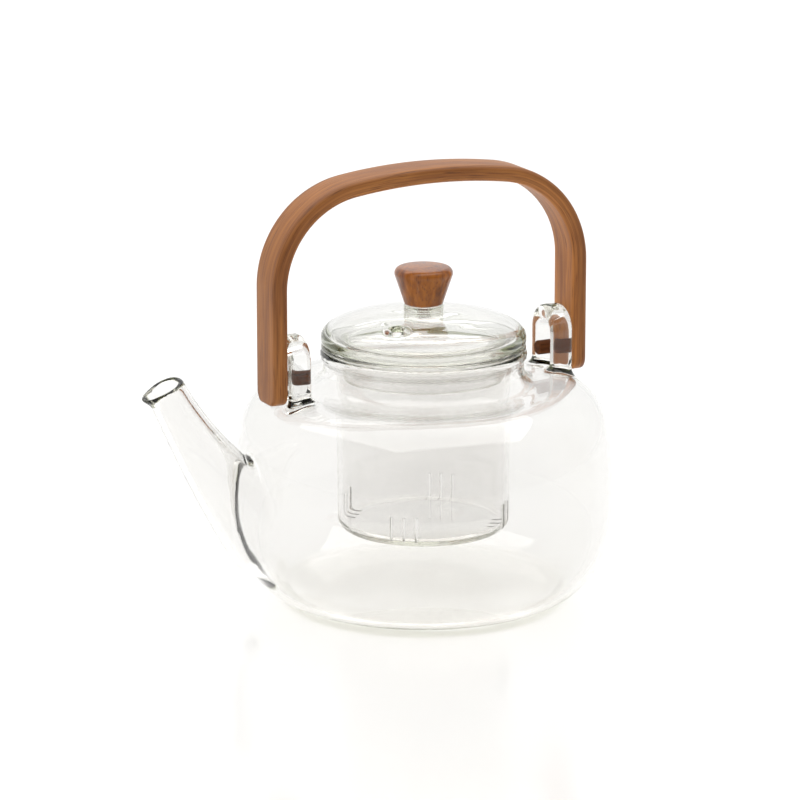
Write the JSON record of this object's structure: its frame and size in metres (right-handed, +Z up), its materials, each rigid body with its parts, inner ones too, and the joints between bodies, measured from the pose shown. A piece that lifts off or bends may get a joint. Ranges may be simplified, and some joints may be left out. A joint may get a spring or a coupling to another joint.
{
  "type": "glass teapot",
  "caption": "Round clear glass teapot with a tapered spout, slotted glass infuser, domed glass lid with wooden knob, and a bent-wood bail that swings on pegs in glass ears.",
  "frame": {"origin": "centre of the flat base, where the pot rests", "axes": "+Z up through the lid knob, -X towards the spout's mouth, the upright bail handle lies in the X-Z plane"},
  "size_m": [0.1877, 0.145, 0.1631],
  "materials": {
    "pot_glass": "clear blown borosilicate glass, flame polished, faint olive tint where thick",
    "infuser_glass": "thin clear borosilicate glass, fire polished edges",
    "lid_glass": "clear glass with a thick rounded rim, slightly wavy",
    "handle_wood": "steam-bent laminated wood, satin oil, fine lengthwise grain with darker edges",
    "knob_wood": "turned hardwood, mottled golden brown, satin oil, end grain on top",
    "peg_wood": "plain round dowel, lightly oiled"
  },
  "bodies": {
    "pot": {"pot_body": "pot_glass", "spout": "pot_glass", "ear_front": "pot_glass", "ear_rear": "pot_glass"},
    "infuser": {"infuser": "infuser_glass"},
    "lid": {"lid": "lid_glass", "knob": "knob_wood", "knob_dowel": "peg_wood"},
    "bail": {"handle": "handle_wood", "peg_front": "peg_wood", "peg_rear": "peg_wood"}
  },
  "joints": [
    {"name": "infuser_lift", "type": "slide", "parent": "pot", "child": "infuser", "axis": [0, 0, 1], "range_m": [0, 0.029]},
    {"name": "lid_lift", "type": "slide", "parent": "infuser", "child": "lid", "axis": [0, 0, 1], "range_m": [0, 0.029]},
    {"name": "bail_swing", "type": "hinge", "parent": "pot", "child": "bail", "pos_m": [0, 0, 0.0883], "axis": [1, 0, 0], "range_deg": [-95, 95]}
  ]
}
